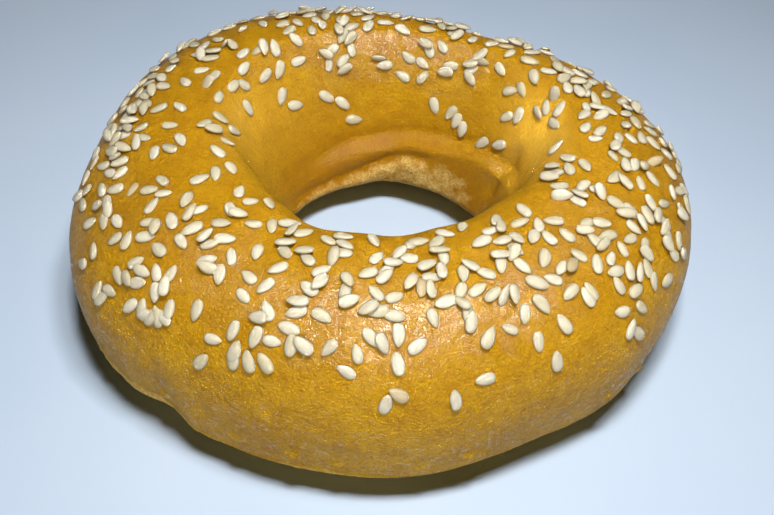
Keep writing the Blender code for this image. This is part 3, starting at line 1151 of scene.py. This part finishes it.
@dataclass(frozen=True)
class SeedRule:
    """The seeded rule that scatters the seeds, with the solid part's sizes."""

    length: float = 3.15
    width: float = 1.85
    thickness: float = 0.76
    spread: float = 0.07
    sunk: float = 0.10
    separation: float = 2.3
    count: int = 380
    draws: int = 9000
    random: int = 27
    band_low: float = 42.0
    band_low_waves: Rows = ((1, 6.3, 90.0), (2, 9.0, 90.0), (3, 6.0, -76.0))
    band_high: float = 116.0
    band_high_waves: Rows = ((1, 8.0, 80.0), (2, 5.0, 90.0))
    band_edge: float = 9.0
    band_chance: float = 0.45
    stray_low: float = 25.0
    stray_high: float = 150.0
    stray_chance: float = 0.012
    places: Rows = (
        (-160.0, 16.0, 98.0, 15.0, -0.6), (-122.0, 9.0, 92.0, 14.0, -0.7), (45.0, 10.0, 98.0, 12.0, -0.5),
        (178.0, 12.0, 56.0, 14.0, 0.8), (108.0, 14.0, 74.0, 12.0, 0.6), (68.0, 18.0, 78.0, 16.0, 0.9),
        (76.0, 30.0, 122.0, 11.0, 0.5), (26.0, 12.0, 80.0, 14.0, 0.8), (-30.0, 20.0, 80.0, 18.0, 0.6),
        (-86.0, 26.0, 84.0, 17.0, 1.2), (-47.0, 10.0, 50.0, 12.0, -0.8), (-27.0, 14.0, 24.0, 14.0, -0.6),
        (-165.0, 22.0, 34.0, 12.0, -0.6),
    )

    def chance(self, turn: Array, around: Array) -> Array:
        """Give the chance that a drawn place takes a seed.

        Args:
            turn: Angles round the ring, in radians.
            around: Angles round the section, in radians.

        Returns:
            Chances from 0 up.
        """
        degrees = np.degrees(around)
        low = self.band_low + wave_sum(turn, self.band_low_waves)
        high = self.band_high + wave_sum(turn, self.band_high_waves)
        inside = smooth_step((degrees - low) / self.band_edge + 0.5)
        inside = inside * smooth_step((high - degrees) / self.band_edge + 0.5)
        crowding = 1.0
        for toward, wide, round_at, round_wide, change in self.places:
            crowding = crowding + change * bell(turn, toward, wide) * ridge(degrees, round_at, round_wide)
        stray = (degrees > self.stray_low) & (degrees < self.stray_high)
        return self.band_chance * inside * crowding + self.stray_chance * stray

    def scatter(self, form: BagelForm) -> tuple[Array, Array, Array, Array]:
        """Scatter the seeds that lie on the crust itself.

        Args:
            form: The ring's form.

        Returns:
            Turns, rounds and headings in radians, and sizes as shares.
        """
        draw = np.random.RandomState(self.random)
        turn = draw.uniform(-math.pi, math.pi, self.draws)
        around = draw.uniform(math.radians(20.0), math.radians(160.0), self.draws)
        luck = draw.uniform(0.0, 1.0, self.draws)
        heading = draw.uniform(0.0, 2.0 * math.pi, self.draws)
        growth = np.clip(draw.normal(1.0, self.spread, self.draws), 0.82, 1.16)
        centres = form.point(turn, around)
        along, over = form.strides(turn, around)
        area = along * over
        wanted = luck < self.chance(turn, around) * area / np.max(area)
        kept: list[int] = []
        for index in np.flatnonzero(wanted):
            if len(kept) >= self.count:
                break
            gaps = np.linalg.norm(centres[kept] - centres[index], axis=-1)
            if not kept or float(gaps.min()) > self.separation:
                kept.append(int(index))
        return turn[kept], around[kept], heading[kept], growth[kept]


@dataclass
class SeedPlaces:
    """Seeds to lay: where, how they point, how large and how they lean."""

    turn: Array
    around: Array
    heading: Array
    growth: Array
    lift: Array
    lean: Array
    lean_toward: Array
    kind: Array

    def joined(self, other: "SeedPlaces") -> "SeedPlaces":
        """Join two sets of places."""
        names = ("turn", "around", "heading", "growth", "lift", "lean", "lean_toward", "kind")
        return SeedPlaces(*(np.concatenate([getattr(self, name), getattr(other, name)]) for name in names))


@dataclass(frozen=True)
class SeedRow:
    """One lone seed or a short row of them, in degrees round the ring and the section."""

    turn: float
    around: float
    heading: float
    count: int = 1
    turn_step: float = 0.0
    around_step: float = 0.0
    heading_step: float = 0.0

    def places(self) -> list[Triple]:
        """List the row's seeds as turn, round and heading."""
        return [(self.turn + number * self.turn_step, self.around + number * self.around_step,
                 self.heading + number * self.heading_step) for number in range(self.count)]


@dataclass
class SeedShape:
    """One shape of seed, a flattened teardrop of unit size."""

    kind: SeedKind
    sides: int = 8
    rings: int = 7
    blunt: float = 0.40
    taper: float = 0.60
    bend: float = 0.0
    edge: float = 1.0
    chip: float = 0.0
    dimple: float = 0.06
    dimple_at: float = 0.62
    dimple_wide: float = 0.14
    chip_at: float = 0.3
    chip_wide: float = 0.18
    fullness: float = 0.85
    thinning: float = 0.7

    def build(self, home: bpy.types.Collection) -> bpy.types.Object:
        """Build the seed's mesh.

        Args:
            home: The collection that the seed goes into.

        Returns:
            The seed object.
        """
        peak = self.blunt / (self.blunt + self.taper)
        top = peak ** self.blunt * (1.0 - peak) ** self.taper
        share = 0.5 - 0.5 * np.cos(math.pi * np.arange(1, self.rings + 1) / (self.rings + 1.0))
        half = 0.5 * share ** self.blunt * (1.0 - share) ** self.taper / top
        turn = 2.0 * math.pi * np.arange(self.sides) / self.sides
        flat = np.sign(np.cos(turn)) * np.abs(np.cos(turn)) ** self.fullness
        rise = np.sign(np.sin(turn)) * np.abs(np.sin(turn)) ** self.edge
        mesh = bmesh.new()
        tip_layer = mesh.verts.layers.float.new("seed_tip")
        loops = []
        for at, reach in zip(share, half):
            aside = self.bend * math.sin(math.pi * at)
            hollow = 1.0 - self.dimple * ridge(at, self.dimple_at, self.dimple_wide)
            thick = 0.5 * (2.0 * reach) ** self.thinning * hollow
            loop = []
            for across, up in zip(flat, rise):
                short = 1.0 - self.chip * max(0.0, across) * ridge(at, self.chip_at, self.chip_wide)
                vertex = mesh.verts.new((at - 0.5, reach * across * short + aside, thick * up))
                vertex[tip_layer] = float(at)
                loop.append(vertex)
            loops.append(loop)
        ends = (mesh.verts.new((-0.5, 0.0, 0.0)), mesh.verts.new((0.5, 0.0, 0.0)))
        ends[1][tip_layer] = 1.0
        for index in range(self.sides):
            after = (index + 1) % self.sides
            mesh.faces.new((ends[0], loops[0][index], loops[0][after]))
            mesh.faces.new((ends[1], loops[-1][after], loops[-1][index]))
            for near, far in zip(loops, loops[1:]):
                mesh.faces.new((near[index], far[index], far[after], near[after]))
        bmesh.ops.recalc_face_normals(mesh, faces=mesh.faces)
        data = bpy.data.meshes.new(f"seed_{self.kind.value}")
        mesh.to_mesh(data)
        mesh.free()
        seed = bpy.data.objects.new(f"seed_{self.kind.value}", data)
        home.objects.link(seed)
        return seed


@dataclass
class SeedLayer:
    """The sesame seeds: scattered singly, in small heaps and a few on edge."""

    form: BagelForm = field(default_factory=BagelForm)
    rule: SeedRule = field(default_factory=SeedRule)
    finish: HulledSesame = field(default_factory=HulledSesame)
    partner_count: int = 120
    partner_near: float = 1.25
    partner_far: float = 1.95
    partner_clear: float = 1.75
    partner_tries: int = 12
    partner_lift: float = 0.42
    partner_lift_close: float = 0.15
    partner_lean: float = 10.0
    partner_lean_close: float = 12.0
    partner_growth: tuple[float, float] = (0.92, 1.08)
    heap_rise: float = 1.7
    heap_drop: float = 0.55
    lone_growth: float = 1.06
    usual_lean: float = 5.0
    edge_count: int = 12
    edge_lean: tuple[float, float] = (28.0, 58.0)
    edge_lift: float = 0.45
    kind_shares: tuple[float, ...] = (0.32, 0.18, 0.14, 0.14, 0.14, 0.08)
    search: float = 4.0
    top: float = 34.6
    random: int = 61
    lone: tuple[SeedRow, ...] = (
        SeedRow(-85, 30, 80), SeedRow(-73, 29, 95), SeedRow(-53, 33, 90), SeedRow(-119, 27, 60),
        SeedRow(-113, 35, 100, 3, 3, 2, 20), SeedRow(-103, 50, 95), SeedRow(-83, 48, 100),
        SeedRow(-73, 110, 5),
        SeedRow(-144, 28, 95, 2, 1.5, -1.5, -35), SeedRow(-138, 50, 10), SeedRow(-132, 35, 20, 4, 1, 1, 50),
        SeedRow(-42, 56, 95), SeedRow(-33, 58, 160), SeedRow(-35, 25, 120, 2, -1.5, 5, -70),
        SeedRow(105, 154, 175), SeedRow(67, 145, 110), SeedRow(59, 147, 60, 3, -3.5, 3, 15),
        SeedRow(41, 155, 55, 2, -8, -5, -10), SeedRow(110, 146, 140, 2, 7, -4, 5),
        SeedRow(132, 143, 165), SeedRow(137, 136, 60), SeedRow(155, 130, 95), SeedRow(173, 127, 120),
    )

    def shapes(self) -> tuple[SeedShape, ...]:
        """List the shapes of seed."""
        return (
            SeedShape(SeedKind.PLUMP),
            SeedShape(SeedKind.SLIM, taper=0.70, blunt=0.44, dimple=0.10),
            SeedShape(SeedKind.ROUND, taper=0.52, blunt=0.42, edge=0.9),
            SeedShape(SeedKind.BENT, bend=0.07, dimple=0.12),
            SeedShape(SeedKind.FLAT, edge=1.25, dimple=0.16),
            SeedShape(SeedKind.CHIPPED, chip=0.24, taper=0.62),
        )

    def single(self) -> SeedPlaces:
        """Place the seeds that lie on the crust, lone ones included."""
        turn, around, heading, growth = self.rule.scatter(self.form)
        lone = np.radians([place for row in self.lone for place in row.places()])
        turn = np.concatenate([turn, lone[:, 0]])
        around = np.concatenate([around, lone[:, 1]])
        heading = np.concatenate([heading, lone[:, 2]])
        growth = np.concatenate([growth, np.full(len(lone), self.lone_growth)])
        draw = np.random.RandomState(self.random)
        count = len(turn)
        lean = np.abs(draw.normal(0.0, self.usual_lean, count))
        lift = np.zeros(count)
        tipped = draw.choice(count - len(lone), self.edge_count, replace=False)
        lean[tipped] = draw.uniform(*self.edge_lean, self.edge_count)
        lift[tipped] = self.edge_lift * np.sin(np.radians(lean[tipped]))
        kind = draw.choice(len(SeedKind), count, p=self.kind_shares)
        toward = draw.uniform(0.0, 2.0 * math.pi, count)
        return SeedPlaces(turn, around, heading, growth, lift, np.radians(lean), toward, kind)

    def partners(self, base: SeedPlaces) -> SeedPlaces:
        """Place the seeds that lean on another seed.

        Args:
            base: The seeds that lie on the crust.

        Returns:
            The leaning seeds.
        """
        draw = np.random.RandomState(self.random + 1)
        centres = self.form.point(base.turn, base.around)
        stretch_along, stretch_over = (stride / STEP for stride in self.form.strides(base.turn, base.around))
        taken = list(centres)
        rows = []
        for index in draw.choice(len(centres), self.partner_tries * self.partner_count):
            if len(rows) >= self.partner_count:
                break
            angle = draw.uniform(0.0, 2.0 * math.pi)
            away = draw.uniform(self.partner_near, self.partner_far)
            luck = draw.uniform(0.0, 1.0)
            crowd = float(self.rule.chance(base.turn[index], base.around[index]))
            if luck > self.heap_rise * crowd - self.heap_drop:
                continue
            turn = base.turn[index] + away * math.cos(angle) / stretch_along[index]
            around = base.around[index] + away * math.sin(angle) / stretch_over[index]
            place = self.form.point(np.array(turn), np.array(around))
            gaps = np.linalg.norm(np.array(taken) - place, axis=-1)
            gaps[index] = math.inf
            if gaps.min() < self.partner_clear:
                continue
            taken.append(place)
            closeness = (self.partner_far - away) / (self.partner_far - self.partner_near)
            lean = math.radians(self.partner_lean + self.partner_lean_close * closeness)
            lift = self.partner_lift + self.partner_lift_close * closeness
            heading = draw.uniform(0.0, 2.0 * math.pi)
            growth = draw.uniform(*self.partner_growth)
            kind = draw.randint(len(SeedKind))
            rows.append((turn, around, heading, growth, lift, lean, angle + math.pi, kind))
        table = np.array(rows)
        return SeedPlaces(*(table[:, column] for column in range(7)), table[:, 7].astype(int))

    def point_mesh(self, places: SeedPlaces, crust: bpy.types.Object) -> bpy.types.Object:
        """Make one point for each seed, with its size, turn and kind.

        Args:
            places: The seeds.
            crust: The crust that they lie on.

        Returns:
            An object whose mesh is the points.
        """
        tree = BVHTree.FromPolygons([vertex.co for vertex in crust.data.vertices],
                                    [face.vertices for face in crust.data.polygons])
        along, over, out = self.form.axes(places.turn, places.around)
        surface = self.form.point(places.turn, places.around)
        rule = self.rule
        centres = []
        turns = []
        sizes = []
        for index in range(len(places.turn)):
            outward = Vector(out[index])
            start = (Vector(surface[index]) + self.search * outward) * MM
            hit = tree.ray_cast(start, -outward, 2.0 * self.search * MM)[0]
            foot = hit if hit is not None else Vector(surface[index]) * MM
            heading = places.heading[index]
            length_axis = Vector(along[index]) * math.cos(heading) + Vector(over[index]) * math.sin(heading)
            toward = places.lean_toward[index]
            lean_axis = Vector(along[index]) * math.cos(toward) + Vector(over[index]) * math.sin(toward)
            lean = Matrix.Rotation(places.lean[index], 3, lean_axis.cross(outward))
            up = (lean @ outward).normalized()
            length_axis = (lean @ length_axis).normalized()
            width_axis = up.cross(length_axis)
            basis = Matrix((length_axis, width_axis, up)).transposed()
            growth = places.growth[index]
            thick = rule.thickness * growth
            centre = foot + outward * (0.5 * thick - rule.sunk + places.lift[index]) * MM
            half_rise = 0.5 * math.hypot(rule.length * growth * length_axis.z, thick * up.z) * MM
            centre.z -= max(0.0, centre.z + half_rise - self.top * MM)
            centres.append(centre)
            turns.append(basis.to_euler())
            sizes.append((rule.length * growth * MM, rule.width * growth * MM, thick * MM))
        mesh = bpy.data.meshes.new("sesame")
        mesh.from_pydata(centres, [], [])
        turn_layer = mesh.attributes.new("seed_turn", "FLOAT_VECTOR", "POINT")
        turn_layer.data.foreach_set("vector", np.array(turns, dtype=np.float32).ravel())
        size_layer = mesh.attributes.new("seed_size", "FLOAT_VECTOR", "POINT")
        size_layer.data.foreach_set("vector", np.array(sizes, dtype=np.float32).ravel())
        kind_layer = mesh.attributes.new("seed_kind", "INT", "POINT")
        kind_layer.data.foreach_set("value", np.array(places.kind, dtype=np.int32))
        piece = bpy.data.objects.new("sesame", mesh)
        bpy.context.scene.collection.objects.link(piece)
        return piece

    def scatter_tree(self) -> TreeSheet:
        """Build the tree that sets a seed on every point.

        Returns:
            The tree, with the seeds, their material and a random seed as inputs.
        """
        sheet = TreeSheet("seed_scatter")
        finish = sheet.input("Finish", "NodeSocketMaterial")
        shapes = sheet.input("Shapes", "NodeSocketCollection")
        chance = sheet.input("Random Seed", "NodeSocketInt", 1)
        swelling = sheet.input("Size Factor", "NodeSocketFloat", 1.0)
        info = sheet.add("GeometryNodeCollectionInfo")
        sheet.join(shapes, info.inputs["Collection"])
        sheet.put(info, Separate_Children=True, Reset_Children=True)
        place = sheet.add("GeometryNodeInstanceOnPoints")
        sheet.join(sheet.entry.outputs["Geometry"], place.inputs["Points"])
        sheet.join(info.outputs[0], place.inputs["Instance"])
        sheet.put(place, Pick_Instance=True)
        sheet.join(sheet.named("seed_kind", "INT"), place.inputs["Instance Index"])
        turned = sheet.add("FunctionNodeEulerToRotation")
        sheet.join(sheet.named("seed_turn", "FLOAT_VECTOR"), turned.inputs[0])
        sheet.join(turned.outputs[0], place.inputs["Rotation"])
        sized = sheet.add("ShaderNodeVectorMath", operation="SCALE")
        sheet.join(sheet.named("seed_size", "FLOAT_VECTOR"), sized.inputs[0])
        sheet.join(swelling, sized.inputs["Scale"])
        sheet.join(sized.outputs["Vector"], place.inputs["Scale"])
        luck = sheet.add("FunctionNodeRandomValue", data_type="FLOAT")
        sheet.join(chance, luck.inputs["Seed"])
        toned = sheet.add("GeometryNodeStoreNamedAttribute", data_type="FLOAT", domain="INSTANCE")
        toned.inputs["Name"].default_value = "seed_tone"
        sheet.join(place.outputs["Instances"], toned.inputs["Geometry"])
        sheet.join(luck.outputs[1], toned.inputs["Value"])
        sheet.finish(toned.outputs["Geometry"], finish)
        return sheet

    def build(self, crust: bpy.types.Object) -> bpy.types.Object:
        """Build all seeds as one mesh.

        Args:
            crust: The crust that they lie on.

        Returns:
            The finished seeds.
        """
        single = self.single()
        places = single.joined(self.partners(single))
        home = bpy.data.collections.new("seed_shapes")
        seeds = [shape.build(home) for shape in self.shapes()]
        piece = self.point_mesh(places, crust)
        self.scatter_tree().apply(piece, {
            "Finish": self.finish.material(), "Shapes": home, "Random Seed": self.random, "Size Factor": 1.0,
        })
        for seed in seeds:
            bpy.data.meshes.remove(seed.data)
        bpy.data.collections.remove(home)
        piece.data.shade_smooth()
        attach(piece, "root")
        LOG.info("sesame: %d seeds, %d faces", len(places.turn), len(piece.data.polygons))
        return piece


@dataclass(frozen=True)
class SoftLamp:
    """A soft lamp of the studio that shines on the bagel's middle, in metres and watts."""

    name: str
    place: Triple
    size: tuple[float, float]
    watts: float
    colour: Triple = (1.0, 1.0, 1.0)
    food_only: bool = False
    mirrored: bool = True

    def build(self, food: bpy.types.Collection) -> bpy.types.Object:
        """Hang the lamp and aim it.

        Args:
            food: The pieces that a lamp for the food alone shines on.

        Returns:
            The lamp.
        """
        light = bpy.data.lights.new(self.name, "AREA")
        light.shape = "RECTANGLE"
        light.size, light.size_y = self.size
        light.energy = self.watts
        light.color = self.colour
        lamp = bpy.data.objects.new(self.name, light)
        lamp.location = self.place
        lamp.rotation_euler = (-Vector(self.place)).to_track_quat("-Z", "Y").to_euler()
        lamp.visible_glossy = self.mirrored
        if self.food_only:
            lamp.light_linking.receiver_collection = food
        bpy.context.scene.collection.objects.link(lamp)
        return lamp


@dataclass
class Studio:
    """The pale table, the lamps, the room light and the camera."""

    table: PaleTable = field(default_factory=PaleTable)
    table_reach: float = 1.6
    lamps: tuple[SoftLamp, ...] = (
        SoftLamp("lamp_key", (0.002, -0.054, 0.239), (0.030, 0.030), 0.37),
        SoftLamp("lamp_side", (0.040, -0.046, 0.241), (0.034, 0.034), 0.25),
        SoftLamp("lamp_front", (0.0, -0.44, 0.22), (0.20, 0.12), 1.25, colour=(1.0, 0.96, 0.88),
                 food_only=True, mirrored=False),
        SoftLamp("lamp_spark", (0.020, -0.150, 0.185), (0.012, 0.012), 0.12, food_only=True),
    )
    room_colour: Triple = (1.0, 0.90, 0.75)
    room_strength: float = 0.015
    target: Triple = (0.00034, 0.00346, 0.0)
    distance: float = 0.1714
    elevation: float = math.radians(47.98)
    roll: float = math.radians(4.3)
    sensor: float = 36.0
    focal_share: float = 892.0 / 774.0
    clip: tuple[float, float] = (0.005, 20.0)

    def build_table(self) -> bpy.types.Object:
        """Lay the floor that the bagel rests on."""
        reach = self.table_reach
        mesh = bmesh.new()
        corners = [mesh.verts.new(corner) for corner in (
            (-reach, -reach, 0.0), (reach, -reach, 0.0), (reach, reach, 0.0), (-reach, reach, 0.0))]
        mesh.faces.new(corners)
        data = bpy.data.meshes.new("table")
        mesh.to_mesh(data)
        mesh.free()
        data.materials.append(self.table.material())
        floor = bpy.data.objects.new("table", data)
        bpy.context.scene.collection.objects.link(floor)
        return floor

    def build_room(self) -> None:
        """Fill the room with a little even, warm light."""
        world = bpy.data.worlds.new("room")
        world.use_nodes = True
        back = world.node_tree.nodes["Background"]
        back.inputs["Color"].default_value = (*self.room_colour, 1.0)
        back.inputs["Strength"].default_value = self.room_strength
        bpy.context.scene.world = world
        bpy.context.scene.view_settings.view_transform = "Standard"
        bpy.context.scene.view_settings.look = "None"

    def build_camera(self) -> bpy.types.Object:
        """Set up the camera.

        Returns:
            The camera.
        """
        lens = bpy.data.cameras.new("camera")
        lens.sensor_fit = "HORIZONTAL"
        lens.sensor_width = self.sensor
        lens.lens = self.sensor * self.focal_share
        lens.clip_start, lens.clip_end = self.clip
        camera = bpy.data.objects.new("camera", lens)
        back = Vector((0.0, -math.cos(self.elevation), math.sin(self.elevation)))
        turn = Matrix.Rotation(0.5 * math.pi - self.elevation, 4, "X") @ Matrix.Rotation(self.roll, 4, "Z")
        camera.matrix_world = Matrix.Translation(Vector(self.target) + self.distance * back) @ turn
        bpy.context.scene.collection.objects.link(camera)
        bpy.context.scene.camera = camera
        return camera

    def build(self, pieces: tuple[bpy.types.Object, ...]) -> None:
        """Build the whole studio.

        Args:
            pieces: The food's pieces.
        """
        self.build_table()
        food = bpy.data.collections.new("food")
        for piece in pieces:
            food.objects.link(piece)
        for lamp in self.lamps:
            lamp.build(food)
        self.build_room()
        self.build_camera()
        LOG.info("studio: table, %d lamps and camera", len(self.lamps))


def main() -> None:
    """Build the crust, the seeds and the studio in order."""
    logging.basicConfig(level=logging.INFO, format="%(name)s %(message)s")
    crust = CrustSkin().build()
    seeds = SeedLayer().build(crust)
    Studio().build((crust, seeds))


if __name__ == "__main__":
    main()
